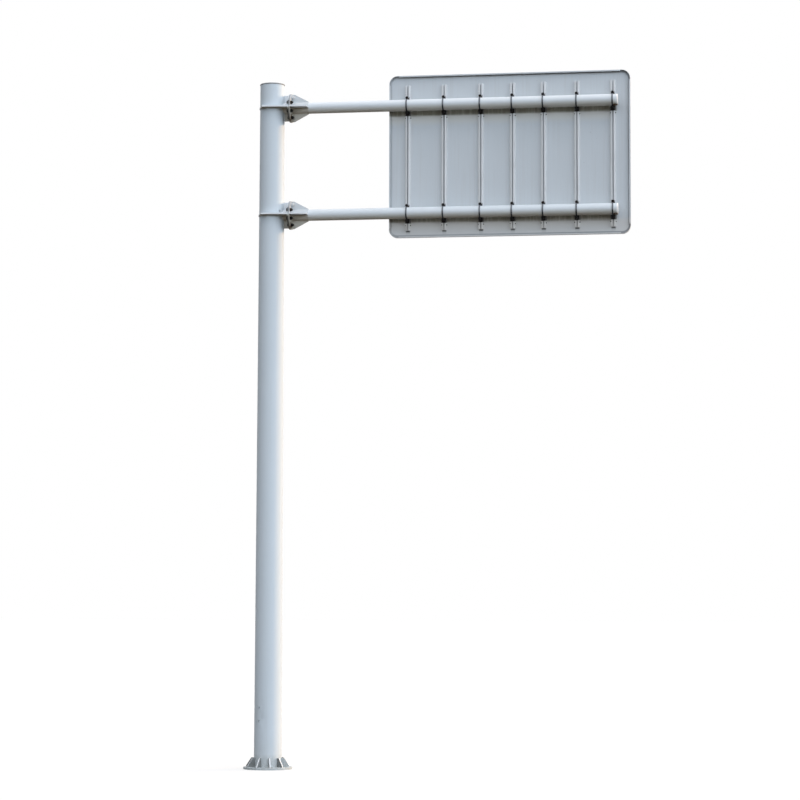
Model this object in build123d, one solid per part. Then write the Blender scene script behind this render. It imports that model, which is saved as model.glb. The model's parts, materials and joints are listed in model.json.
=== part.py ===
from build123d import *
import os

# Cantilever sign gantry: a tapered tube column on a gusseted base plate carries two bolted tube arms,
# and the arms carry a sign panel on slotted rails and clamps.
# Lengths are in millimetres and angles in degrees, +Z is up, and the origin is the centre of the
# underside of the base plate. The arms run along +X, and the back of the sign looks towards -Y.

# Fit and cut allowances
weld_clearance = 0.3
cut_overrun = 5

# Column
column_base_diameter = 273
column_top_diameter = 243
column_wall = 8
column_rise = 238
cap_thickness = 8
cap_overhang = 3
side_hole_diameter = 16
side_hole_height = 472
side_hole_spacing = 128
side_hole_turn = -120

# Base plate and gussets
base_plate_thickness = 20
base_plate_margin = 24
anchor_offset = 63.5
anchor_hole_diameter = 27
gusset_count = 10
gusset_height = 91
gusset_thickness = 12
gusset_head = 28
gusset_foot = 80
gusset_toe = 12

# Arms
lower_arm_height = 5480
arm_spacing = 1082
arm_diameter = 114
arm_wall = 5
arm_cap_thickness = 20
arm_cap_rounding = 10

# Bolted joint between column and arm
flange_standoff = 70
flange_diameter = 284
flange_thickness = 12
flange_bolt_edge = 32
flange_bolt_hole = 22
flange_bolt_count = 8
ring_thickness = 16
ring_side_overhang = 50
ring_back_overhang = 8
web_thickness = 16
web_inset = 12
rib_thickness = 12
rib_length = 155
rib_inset = 4
rib_shoulder = 16
rib_nose = 6

# Sign panel
panel_width = 2400
panel_start = 1177
panel_drop = 236
panel_rise = 312
panel_overhang = 117
panel_corner_radius = 85
sheet_thickness = 3
face_thickness = 1
rim_depth = 30
lip_width = 13
lip_setback = 12

# Slotted rails on the back of the panel, placed across its width
rail_place_shares = (0.078, 0.230, 0.383, 0.515, 0.643, 0.781, 0.929)
rail_foot_width = 60
rail_body_width = 40
rail_depth = 30
rail_wall = 3
rail_rounding = 4
rail_slot = 14
rail_top_margin = 98
rail_bottom_margin = 72

# Clamps that hold the rails on the arms
strap_width = 14
strap_thickness = 6
eye_diameter = 30
eye_offset = 19
clamp_bolt_hole = 13
saddle_width = 40
saddle_thickness = 6
saddle_end_margin = 19
cradle_depth = 12
cradle_height = 72

# Places worked out from the sizes above
upper_arm_height = lower_arm_height + arm_spacing
column_length = upper_arm_height + column_rise - base_plate_thickness
arm_radius = arm_diameter / 2
flange_radius = flange_diameter / 2
arm_reach = panel_start + panel_width - panel_overhang
panel_height = panel_drop + arm_spacing + panel_rise
panel_bottom = lower_arm_height - panel_drop
rail_face_depth = arm_radius + saddle_thickness
sheet_back_depth = rail_face_depth + rail_depth
sheet_front_depth = sheet_back_depth + sheet_thickness
eye_height = arm_radius + eye_offset
UPRIGHT = (Align.CENTER, Align.CENTER, Align.MIN)


def column_radius(height):
    """Outer radius of the column at a height above the ground."""
    climbed_share = (height - base_plate_thickness) / column_length
    return (column_base_diameter + (column_top_diameter - column_base_diameter) * climbed_share) / 2


def column_core(growth):
    """Tapered solid along the column, larger than the tube by a growth in radius."""
    bottom_radius = column_base_diameter / 2 + growth
    top_radius = column_top_diameter / 2 + growth
    return Pos(0, 0, base_plate_thickness) * Cone(bottom_radius, top_radius, column_length, align=UPRIGHT)


def bar_along_x(radius, start, end, height):
    """Round bar along X at a height, from a start to an end."""
    return Pos(start, 0, height) * Rot(0, 90, 0) * Cylinder(radius, end - start, align=UPRIGHT)


def sign_plane(depth):
    """Plane across the middle of the sign at a depth behind the arms, facing the back of the sign."""
    middle = (panel_start + panel_width / 2, depth, panel_bottom + panel_height / 2)
    return Plane(origin=middle, x_dir=(1, 0, 0), z_dir=(0, -1, 0))


def make_base_plate():
    """Round plate with one anchor hole between each two gussets."""
    radius = column_base_diameter / 2 + gusset_foot + base_plate_margin
    anchor_radius = column_base_diameter / 2 + anchor_offset
    between_gussets = 360 / gusset_count / 2
    holes = PolarLocations(anchor_radius, gusset_count, between_gussets) * Circle(anchor_hole_diameter / 2)
    face = Circle(radius) - holes
    return extrude(face, base_plate_thickness)


def make_base_gussets():
    """Upright plates around the foot of the column."""
    radius = column_base_diameter / 2
    outline = Polyline(
        (0, 0),
        (radius + gusset_foot, 0),
        (radius + gusset_foot, gusset_toe),
        (radius + gusset_head, gusset_height),
        (0, gusset_height),
        close=True,
    )
    plate = extrude(Plane.XZ * make_face(outline), gusset_thickness / 2, both=True)
    plate = Pos(0, 0, base_plate_thickness) * plate - column_core(weld_clearance)
    return Compound([Rot(0, 0, 360 / gusset_count * place) * plate for place in range(gusset_count)])


def make_column_tube():
    """Tapered hollow tube with two small holes low on one side."""
    tube = column_core(0) - column_core(-column_wall)
    hole = Rot(0, 90, 0) * Cylinder(side_hole_diameter / 2, column_base_diameter, align=UPRIGHT)
    hole = Rot(0, 0, side_hole_turn) * hole
    for height in (side_hole_height, side_hole_height + side_hole_spacing):
        tube -= Pos(0, 0, height) * hole
    return tube


def make_column_cap():
    """Thin round lid on top of the column."""
    lid = Cylinder(column_top_diameter / 2 + cap_overhang, cap_thickness, align=UPRIGHT)
    lid = fillet(lid.edges().group_by(Axis.Z)[-1], cap_thickness / 2)
    return Pos(0, 0, base_plate_thickness + column_length) * lid


def joint_face(height):
    """Distance from the column's axis to the two bolted faces of a joint."""
    return column_radius(height) + flange_standoff


def stub_core(growth, height):
    """Round solid from the column's axis to its flange, larger than the stub by a growth in radius."""
    return bar_along_x(arm_radius + growth, 0, joint_face(height) - flange_thickness, height)


def make_stub(height):
    """Short tube between the column and its flange, cut to the curve of the column."""
    return stub_core(0, height) - stub_core(-arm_wall, height) - column_core(weld_clearance)


def make_ring_plate(height):
    """Level plate that wraps the column and runs out beside the stub to the column's flange."""
    side = column_radius(height) + ring_side_overhang
    back = column_radius(height) + ring_back_overhang
    end = joint_face(height) - flange_thickness
    half_end = flange_radius - web_inset
    outline = [
        ThreePointArc((0, side), (-back, 0), (0, -side)),
        Polyline((0, -side), (end, -half_end), (end, half_end), (0, side)),
    ]
    plate = Pos(0, 0, height) * extrude(make_face(outline), ring_thickness / 2, both=True)
    return plate - column_core(weld_clearance) - stub_core(weld_clearance, height)


def make_webs(height):
    """Upright plates above and below the stub, between the column and its flange."""
    length = joint_face(height) - flange_thickness
    tall = flange_radius - web_inset
    plate = Box(length, web_thickness, tall, align=(Align.MIN, Align.CENTER, Align.MIN))
    joint = column_core(weld_clearance) + stub_core(weld_clearance, height)
    return Compound([Pos(0, 0, height) * Rot(turn, 0, 0) * plate - joint for turn in (0, 180)])


def make_flange(start, height):
    """Round bolting flange across X, with its bolt holes clear of the ribs."""
    half_step = 360 / flange_bolt_count / 2
    face = Circle(flange_radius)
    bolt_radius = flange_radius - flange_bolt_edge
    face -= PolarLocations(bolt_radius, flange_bolt_count, half_step) * Circle(flange_bolt_hole / 2)
    return Pos(start, 0, height) * extrude(Plane.YZ * face, flange_thickness)


def make_arm_ribs(height):
    """Four tapered ribs between the arm's flange and the arm."""
    start = joint_face(height) + flange_thickness
    inner = arm_radius + weld_clearance
    outer = flange_radius - rib_inset
    outline = Polyline(
        (0, inner),
        (rib_length, inner),
        (rib_length, inner + rib_nose),
        (rib_shoulder, outer),
        (0, outer),
        close=True,
    )
    rib = extrude(Plane.XZ * make_face(outline), rib_thickness / 2, both=True)
    return Compound([Pos(start, 0, height) * Rot(turn, 0, 0) * rib for turn in (0, 90, 180, 270)])


def make_arm_tube(height):
    """Straight hollow tube from the arm's flange to the cap at its tip."""
    start = joint_face(height) + flange_thickness
    end = arm_reach - arm_cap_thickness
    bore_start = start - cut_overrun
    bore_end = end + cut_overrun
    return bar_along_x(arm_radius, start, end, height) - bar_along_x(
        arm_radius - arm_wall, bore_start, bore_end, height
    )


def make_arm_cap(height):
    """Closed cap with a rounded edge on the tip of an arm."""
    cap = bar_along_x(arm_radius, arm_reach - arm_cap_thickness, arm_reach, height)
    return fillet(cap.edges().group_by(Axis.X)[-1], arm_cap_rounding)


def make_sign_panel():
    """Sheet with its edges folded back into a rim, and a lip along each straight stretch of the rim."""
    pocket_width = panel_width - sheet_thickness * 2
    pocket_height = panel_height - sheet_thickness * 2
    corner = panel_corner_radius + lip_setback
    outer = RectangleRounded(panel_width, panel_height, panel_corner_radius)
    pocket = RectangleRounded(pocket_width, pocket_height, panel_corner_radius - sheet_thickness)
    between_lips = Rectangle(panel_width - lip_width * 2, panel_height - lip_width * 2)
    corners = GridLocations(panel_width - corner, panel_height - corner, 2, 2) * Rectangle(corner, corner)
    opening = pocket & (between_lips + corners)
    panel = extrude(sign_plane(sheet_front_depth) * outer, sheet_thickness + rim_depth)
    panel -= extrude(sign_plane(sheet_back_depth) * pocket, rim_depth - sheet_thickness)
    panel -= extrude(sign_plane(sheet_back_depth) * opening, rim_depth + cut_overrun)
    return panel


def make_sign_face():
    """Reflective facing over the whole front of the sheet."""
    outer = RectangleRounded(panel_width, panel_height, panel_corner_radius)
    return extrude(sign_plane(sheet_front_depth + face_thickness) * outer, face_thickness)


def rail_place(share):
    """Distance from the column's axis to the middle of a rail."""
    return panel_start + panel_width * share


def make_rail(share):
    """Slotted channel with feet on the sheet and lips along its slot."""
    length = panel_height - rail_bottom_margin - rail_top_margin
    deep = (Align.CENTER, Align.MIN)
    section = Rectangle(rail_body_width, rail_depth, align=deep)
    section = fillet(section.vertices().group_by(Axis.Y)[0], rail_rounding)
    section += Pos(0, rail_depth - rail_wall) * Rectangle(rail_foot_width, rail_wall, align=deep)
    section -= Pos(0, rail_wall) * Rectangle(
        rail_body_width - rail_wall * 2, rail_depth - rail_wall * 2, align=deep
    )
    section -= Rectangle(rail_slot, rail_wall, align=deep)
    return Pos(rail_place(share), rail_face_depth, panel_bottom + rail_bottom_margin) * extrude(section, length)


def make_strap():
    """Half hoop round the back of an arm, with a bolt eye above and below."""
    inner = arm_radius + weld_clearance
    outer = inner + strap_thickness
    hoop = (Circle(outer) - Circle(inner)) & Rectangle(outer, outer * 2, align=(Align.MAX, Align.CENTER))
    strap = extrude(Plane.YZ * hoop, strap_width / 2, both=True)
    neck = Pos(0, inner) * Rectangle(strap_width, eye_height - inner, align=(Align.CENTER, Align.MIN))
    eye = neck + Pos(0, eye_height) * Circle(eye_diameter / 2) - Pos(0, eye_height) * Circle(clamp_bolt_hole / 2)
    eye -= Circle(inner)
    upper_eye = extrude(Plane.XZ * eye, strap_thickness)
    return strap + upper_eye + mirror(upper_eye, Plane.XY)


def make_saddle():
    """Plate between an arm and a rail, with a cradle for the arm and two bolt holes."""
    behind = (Align.CENTER, Align.MIN, Align.CENTER)
    before = (Align.CENTER, Align.MAX, Align.CENTER)
    tall = (eye_height + saddle_end_margin) * 2
    saddle = Pos(0, arm_radius, 0) * Box(saddle_width, saddle_thickness, tall, align=behind)
    saddle += Pos(0, arm_radius, 0) * Box(saddle_width, cradle_depth, cradle_height, align=before)
    saddle -= bar_along_x(arm_radius + weld_clearance, -saddle_width, saddle_width, 0)
    hole = Rot(-90, 0, 0) * Cylinder(clamp_bolt_hole / 2, rail_face_depth + cut_overrun, align=UPRIGHT)
    return saddle - Pos(0, 0, eye_height) * hole - Pos(0, 0, -eye_height) * hole


def row_on_rails(piece, height):
    """Copies of a clamp piece along an arm, one at each rail."""
    return Compound([Pos(rail_place(share), 0, height) * piece for share in rail_place_shares])


nodes = {
    "base_plate": make_base_plate(),
    "base_gussets": make_base_gussets(),
    "column_tube": make_column_tube(),
    "column_cap": make_column_cap(),
    "sign_panel": make_sign_panel(),
    "sign_face": make_sign_face(),
}
for number, share in enumerate(rail_place_shares, start=1):
    nodes[f"rail_{number}"] = make_rail(share)
for level, height in (("lower", lower_arm_height), ("upper", upper_arm_height)):
    nodes[f"{level}_stub"] = make_stub(height)
    nodes[f"{level}_ring_plate"] = make_ring_plate(height)
    nodes[f"{level}_webs"] = make_webs(height)
    nodes[f"{level}_column_flange"] = make_flange(joint_face(height) - flange_thickness, height)
    nodes[f"{level}_arm_flange"] = make_flange(joint_face(height), height)
    nodes[f"{level}_arm_ribs"] = make_arm_ribs(height)
    nodes[f"{level}_arm_tube"] = make_arm_tube(height)
    nodes[f"{level}_arm_cap"] = make_arm_cap(height)
    nodes[f"{level}_clamp_straps"] = row_on_rails(make_strap(), height)
    nodes[f"{level}_clamp_saddles"] = row_on_rails(make_saddle(), height)

os.makedirs("parts", exist_ok=True)
for name, shape in nodes.items():
    export_step(shape, f"parts/{name}.step")
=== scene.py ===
import json
import math
import random

import bpy
from mathutils import Matrix, Vector


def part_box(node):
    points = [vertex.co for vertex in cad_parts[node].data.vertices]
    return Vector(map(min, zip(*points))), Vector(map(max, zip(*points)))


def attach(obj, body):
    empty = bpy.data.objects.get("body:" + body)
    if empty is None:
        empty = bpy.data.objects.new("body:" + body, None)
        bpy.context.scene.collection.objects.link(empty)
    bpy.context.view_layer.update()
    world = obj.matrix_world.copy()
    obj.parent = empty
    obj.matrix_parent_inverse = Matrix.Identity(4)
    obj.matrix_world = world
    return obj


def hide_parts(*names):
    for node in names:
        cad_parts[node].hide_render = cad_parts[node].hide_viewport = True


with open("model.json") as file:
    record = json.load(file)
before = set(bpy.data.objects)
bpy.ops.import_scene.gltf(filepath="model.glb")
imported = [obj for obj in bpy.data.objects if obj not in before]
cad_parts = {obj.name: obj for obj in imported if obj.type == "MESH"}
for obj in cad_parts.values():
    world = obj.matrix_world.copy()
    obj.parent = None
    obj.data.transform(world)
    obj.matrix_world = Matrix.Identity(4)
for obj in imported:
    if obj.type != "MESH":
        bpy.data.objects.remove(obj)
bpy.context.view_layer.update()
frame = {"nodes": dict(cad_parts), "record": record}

# Cantilever sign gantry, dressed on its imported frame. Metres, +Z up, the back of the sign looks to -Y.
# Colours are linear red, green and blue, and all but the sun's have an alpha of one.
nodes = frame["nodes"]
LEVELS = ("lower", "upper")
RAILS = sorted(name for name in nodes if name.startswith("rail_"))

# Camera
CAMERA_PLACE = (5.042, -24.278, 1.620)
CAMERA_YAW = math.radians(8.754)
CAMERA_PITCH = math.radians(4.658)
CAMERA_ROLL = math.radians(0.17)
CAMERA_LENS = 112.5
CAMERA_SENSOR = 36.0
CAMERA_REACH = 1000.0

# Light: a warm sun behind the right of the view, and a sky that is brighter on its right-hand side.
# Each band of the sky is the sine of an elevation and the colour there.
SUN_AZIMUTH = math.radians(31)
SUN_ELEVATION = math.radians(18)
SUN_STRENGTH = 2.4
SUN_SOFTNESS = math.radians(2.5)
SUN_COLOUR = (0.92, 0.54, 0.17)
SUN_DISTANCE = 20.0
SKY_BANDS = (
    (0.0, (0.12, 0.108, 0.090, 1)),
    (0.08, (0.36, 0.387, 0.407, 1)),
    (0.24, (0.775, 0.885, 1.0, 1)),
    (0.38, (0.334, 0.391, 0.475, 1)),
    (0.60, (0.278, 0.314, 0.369, 1)),
    (1.0, (0.63, 0.58, 0.547, 1)),
)
SKY_STRENGTH = 2.517
SKY_BRIGHT_SIDE = (0.989, -0.235, 0.123)
SKY_BRIGHT_SHARE = 0.92

# Floor and surround
WHITE = (1, 1, 1, 1)
FLOOR_SIZE = 400.0
FLOOR_DROP = 0.001
FLOOR_PALE = (0.8, 0.8, 0.8, 1)
FLOOR_BOUNCE = (0.05, 0.04, 0.028, 1)
FLOOR_GLOW = 1.0
FLOOR_SHADOW_SHARE = 0.24

# Sides of round forms
NUT_SIDES = 24
ROD_SIDES = 14
RIVET_SIDES = 12
BEAD_SIDES = 6

# Bolts of the flanges
FLANGE_BOLT_COUNT = 8
FLANGE_BOLT_EDGE = 0.032
FLANGE_BOLT_RADIUS = 0.010
FLANGE_BOLT_FLATS = 0.030
FLANGE_WASHER_RADIUS = 0.0185
FLANGE_WASHER_THICKNESS = 0.003
FLANGE_NUT_HEIGHT = 0.016
FLANGE_HEAD_HEIGHT = 0.0125
FLANGE_THREAD_START = 0.018
FLANGE_THREAD_END = 0.027
FLANGE_THREAD_PITCH = 0.0025
PAINTED_BOLT_SINE = 0.6

# Bolts of the clamps
CLAMP_EYE_RADIUS = 0.015
CLAMP_BOLT_RADIUS = 0.006
CLAMP_BOLT_FLATS = 0.022
CLAMP_WASHER_RADIUS = 0.0145
CLAMP_WASHER_THICKNESS = 0.0025
CLAMP_NUT_HEIGHT = 0.0105
CLAMP_HEAD_FLATS = 0.026
CLAMP_HEAD_HEIGHT = 0.008
CLAMP_THREAD_START = 0.012
CLAMP_THREAD_PITCH = 0.00175
CLAMP_SPARE_THREAD = (0.008, 0.018)
STRAP_THICKNESS = 0.006

# Rails and their rivets
RAIL_WALL = 0.003
RAIL_BODY_WIDTH = 0.040
RIVET_RADIUS = 0.0055
RIVET_HEIGHT = 0.0024
RIVET_STEP = 0.165
RIVET_PAIR_DROP = 0.112

# Level plates and ribs of the bolted joints
SEAT_GAP = 0.0003
COLLAR_OVERHANG = 0.050
COLLAR_CORNER_SHARE = 0.58
COLLAR_BACK = 0.003
COLLAR_BACK_SHARE = 0.25
COLLAR_ARC_STEPS = 60
RIB_COUNT = 4
RIB_THICKNESS = 0.012
RIB_LENGTH = 0.170
RIB_END_HALF_WIDTH = 0.126
RIB_INSET = 0.004
RIB_SHOULDER = 0.024
RIB_NOSE = 0.004

# Weld beads: the length of a ripple and its points, the shares of a bead that vary, and the beads' radii
RIPPLE_LENGTH = 0.009
RIPPLE_POINTS = 4
WELD_FEWEST_POINTS = 24
RIPPLE_SHARE = 0.10
UNEVEN_SHARE = 0.05
PLATE_WELD = 0.004
FOOT_WELD = 0.006
COLUMN_CAP_WELD = 0.003
RING_WELD = 0.005
ARM_WELD = 0.005
ARM_CAP_WELD = 0.0022
ARM_CAP_WELD_INSET = 0.001

# Column and its foot
COLUMN_CAP_OVERHANG = 0.003
GUSSET_COUNT = 10
GUSSET_THICKNESS = 0.012

# Small grey mark on the column, just above its lower joint
COLUMN_MARK = (0.099, -0.079, 5.516)
COLUMN_MARK_REACH = 0.020

# Slope of the lower edge of the painted shadow below each arm, which falls towards the free end of the lower
# arm
UNDER_ARM_SLOPE = {"lower": 0.011, "upper": 0.0}

# How far the tops of the arms are painted paler than the column: a painted highlight
ARM_TOP_HIGHLIGHT_SHARE = {"lower": 0.42, "upper": 0.70}

# Half height of the tints on an arm, and how far back from its tip the flat face of its cap counts
ARM_TINT_HALF_HEIGHT = 0.06
ARM_CAP_FACE = 0.0015

# How far from an arm's axis the tints of its joint begin, above and below its level plate, and end
JOINT_TINT_ABOVE = 0.0085
JOINT_TINT_BELOW = 0.0075
JOINT_TINT_REACH = 0.16

# Sign panel
PANEL_CORNER = 0.085
SHEET_THICKNESS = 0.003
BORDER_INSET = 0.022
BORDER_WIDTH = 0.030
FACING_CELL_SCALE = 60

# Colours of the coating, of the dirt on it and of the light and shade painted on it
COAT_COOL = (0.618, 0.672, 0.705, 1)
COAT_PALE = (0.665, 0.711, 0.74, 1)
COAT_MOTTLE = (0.58, 0.605, 0.625, 1)
COAT_STREAK = (0.50, 0.50, 0.485, 1)
SPLASH_DIRT = (0.47, 0.465, 0.43, 1)
PLATE_EDGE_HIGHLIGHT = (0.80, 0.81, 0.82, 1)
WEB_PAINTED_LIGHT = (0.80, 0.81, 0.83, 1)
RIB_PAINTED_SHADE = (0.52, 0.52, 0.51, 1)
FLANGE_PAINTED_SHADE = (0.38, 0.40, 0.43, 1)
JOINT_DIRT_AND_SHADE = (0.50, 0.44, 0.34, 1)
SEAM_GRIME_AND_SHADE = (0.045, 0.043, 0.038, 1)
ARM_TOP_HIGHLIGHT = (0.80, 0.81, 0.81, 1)
ARM_UNDERSIDE_SHADE = (0.60, 0.57, 0.49, 1)
ARM_END_HIGHLIGHT = (0.82, 0.82, 0.815, 1)
CAP_FACE = (0.645, 0.66, 0.665, 1)
CAP_GREY_AND_SHADE = (0.30, 0.30, 0.295, 1)
FOOT_DIRT = (0.40, 0.42, 0.405, 1)
GUSSET_PAINTED_SHADE = (0.17, 0.175, 0.17, 1)
GUSSET_EDGE_HIGHLIGHT = (0.84, 0.845, 0.85, 1)
MARK_GREY = (0.22, 0.23, 0.25, 1)
COAT_RUST = (0.10, 0.055, 0.026, 1)

# Colours of the sheet and of the rails
SHEET_DULL = (0.578, 0.613, 0.634, 1)
SHEET_BRIGHT = (0.629, 0.655, 0.671, 1)
SHEET_STREAK = (0.56, 0.57, 0.57, 1)
SHEET_BELOW_ARM_LIGHT = (0.72, 0.70, 0.65, 1)
SHEET_FOOT_GROUND_LIGHT = (0.645, 0.625, 0.595, 1)
UNDER_ARM_SHADOW = (0.26, 0.258, 0.21, 1)
SMEAR_DIRT_AND_SHADE = (0.15, 0.15, 0.145, 1)
RIM_DIRT_AND_SHADE = (0.24, 0.245, 0.25, 1)
SPECK_GREY = (0.22, 0.22, 0.22, 1)
RAIL_DULL = (0.66, 0.68, 0.70, 1)
RAIL_BRIGHT = (0.73, 0.745, 0.76, 1)
RAIL_CLOUD = (0.58, 0.585, 0.585, 1)
RAIL_LEFT_LIP_SHADE = (0.55, 0.57, 0.58, 1)
RAIL_SLOT_SHADE = (0.56, 0.585, 0.61, 1)
RAIL_UNDER_ARM_SHADOW = (0.10, 0.095, 0.08, 1)
RAIL_FOOT_WARM_SHADE = (0.60, 0.58, 0.545, 1)

# Colours of the dark steel, each as its darker and its lighter tone, and of the rust and painted shade on it
BOLT_TONES = ((0.018, 0.017, 0.018, 1), (0.040, 0.038, 0.037, 1))
STRAP_TONES = ((0.15, 0.16, 0.175, 1), (0.20, 0.212, 0.23, 1))
SADDLE_TONES = ((0.40, 0.405, 0.41, 1), (0.50, 0.505, 0.51, 1))
STEEL_RUST = (0.085, 0.045, 0.026, 1)
STEEL_LOW_SHADE = (0.010, 0.009, 0.008, 1)

# Colours of the facing on the front of the sign
FACING_DEEP = (0.012, 0.075, 0.30, 1)
FACING_BLUE = (0.016, 0.095, 0.36, 1)
FACING_SEAM = (0.006, 0.045, 0.20, 1)
BORDER_BRIGHT = (0.78, 0.79, 0.79, 1)
BORDER_DULL = (0.70, 0.71, 0.71, 1)
FACING_DUST = (0.45, 0.44, 0.41, 1)

random.seed(7)


class Shape:
    """Vertices and faces gathered from many small forms into one mesh."""

    def __init__(self):
        self.points = []
        self.faces = []

    def add(self, points, faces, matrix=None):
        first = len(self.points)
        matrix = matrix or Matrix.Identity(4)
        self.points.extend(matrix @ Vector(point) for point in points)
        self.faces.extend([first + index for index in face] for face in faces)

    def to_piece(self, name, material, smooth_angle=40):
        """Makes the mesh an object of the scene that rides on the frame."""
        mesh = bpy.data.meshes.new(name)
        mesh.from_pydata([tuple(point) for point in self.points], [], self.faces)
        mesh.validate()
        mesh.update()
        mesh.set_sharp_from_angle(angle=math.radians(smooth_angle))
        mesh.materials.append(material)
        piece = bpy.data.objects.new(name, mesh)
        bpy.context.scene.collection.objects.link(piece)
        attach(piece, "root")
        return piece


def lathe(rings, sides):
    """Rings of (radius, height) turned about Z; a radius or height may be a function of the angle."""
    points = []
    for radius, height in rings:
        for side in range(sides):
            angle = math.tau * side / sides
            reach = radius(angle) if callable(radius) else radius
            level = height(angle) if callable(height) else height
            points.append((reach * math.cos(angle), reach * math.sin(angle), level))
    faces = []
    for ring in range(len(rings) - 1):
        for side in range(sides):
            after = (side + 1) % sides
            low = ring * sides
            high = (ring + 1) * sides
            faces.append((low + side, low + after, high + after, high + side))
    faces.append(tuple(reversed(range(sides))))
    last = (len(rings) - 1) * sides
    faces.append(tuple(range(last, last + sides)))
    return points, faces


def hexagon(flats):
    """Radius of a hexagon with that width across flats, by angle."""
    sixth = math.tau / 6
    return lambda angle: flats / 2 / math.cos(angle % sixth - sixth / 2)


def hex_block(flats, height, base=0.0):
    """Hexagon nut or head with its outer corners turned off."""
    corner = hexagon(flats)
    face = flats * 0.475

    def foot(angle):
        return base + (corner(angle) - face) * 0.25

    def bevel(angle):
        return base + height - (corner(angle) - face) * 0.55

    rings = [(flats * 0.46, base), (corner, foot), (corner, bevel), (face, base + height)]
    return lathe(rings, NUT_SIDES)


def washer(radius, thickness, base=0.0):
    """Flat round washer with softened edges."""
    soft = thickness * 0.25
    rings = [(radius - soft, base), (radius, base + soft), (radius, base + thickness - soft)]
    rings.append((radius - soft, base + thickness))
    return lathe(rings, NUT_SIDES)


def thread(radius, start, end, pitch):
    """Threaded rod from start to end with turned ridges and a pointed-off tip."""
    rings = []
    turns = max(1, round((end - start) / pitch))
    step = (end - start) / turns
    for turn in range(turns):
        rings.append((radius * 0.88, start + step * turn))
        rings.append((radius, start + step * (turn + 0.5)))
    rings.append((radius * 0.88, end))
    rings.append((radius * 0.6, end + radius * 0.2))
    return lathe(rings, ROD_SIDES)


def rod(radius, start, end):
    """Plain round rod along Z."""
    return lathe([(radius, start), (radius, end)], ROD_SIDES)


def dome(radius, height):
    """Rivet head with a dimple left by its mandrel."""
    rings = [(radius, 0.0), (radius * 0.97, height * 0.35), (radius * 0.7, height * 0.85)]
    rings += [(radius * 0.36, height), (radius * 0.28, height * 0.72)]
    return lathe(rings, RIVET_SIDES)


def plate(outline, thickness):
    """Flat plate about the XY plane from an outline that runs anticlockwise."""
    count = len(outline)
    points = [(x, y, z) for z in (-thickness / 2, thickness / 2) for x, y in outline]
    faces = [tuple(reversed(range(count))), tuple(range(count, count * 2))]
    for place in range(count):
        after = (place + 1) % count
        faces.append((place, after, count + after, count + place))
    return points, faces


def along(place, direction):
    """Matrix that stands a form made along Z at a place, pointing along a direction."""
    turn = Vector(direction).to_track_quat("Z", "Y").to_matrix().to_4x4()
    return Matrix.Translation(place) @ turn


def bead(shape, path, normals, size, closed):
    """Weld bead along a path: a rippled round section, sunk into the corner that it fills."""
    count = len(path)
    points = []
    for place in range(count):
        if closed:
            before = path[place - 1]
            after = path[(place + 1) % count]
        else:
            before = path[max(place - 1, 0)]
            after = path[min(place + 1, count - 1)]
        forward = (after - before).normalized()
        out = normals[place].normalized()
        side = forward.cross(out)
        wave = RIPPLE_SHARE * math.sin(place * math.tau / RIPPLE_POINTS)
        radius = size * (1 + wave + random.uniform(-UNEVEN_SHARE, UNEVEN_SHARE))
        for turn in range(BEAD_SIDES):
            angle = math.tau * turn / BEAD_SIDES
            points.append(path[place] + (out * math.cos(angle) + side * math.sin(angle)) * radius)
    faces = []
    for place in range(count if closed else count - 1):
        here = place * BEAD_SIDES
        there = (place + 1) % count * BEAD_SIDES
        for turn in range(BEAD_SIDES):
            following = (turn + 1) % BEAD_SIDES
            faces.append((here + turn, here + following, there + following, there + turn))
    if not closed:
        last = (count - 1) * BEAD_SIDES
        faces.append(tuple(reversed(range(BEAD_SIDES))))
        faces.append(tuple(range(last, last + BEAD_SIDES)))
    shape.add(points, faces)


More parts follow.
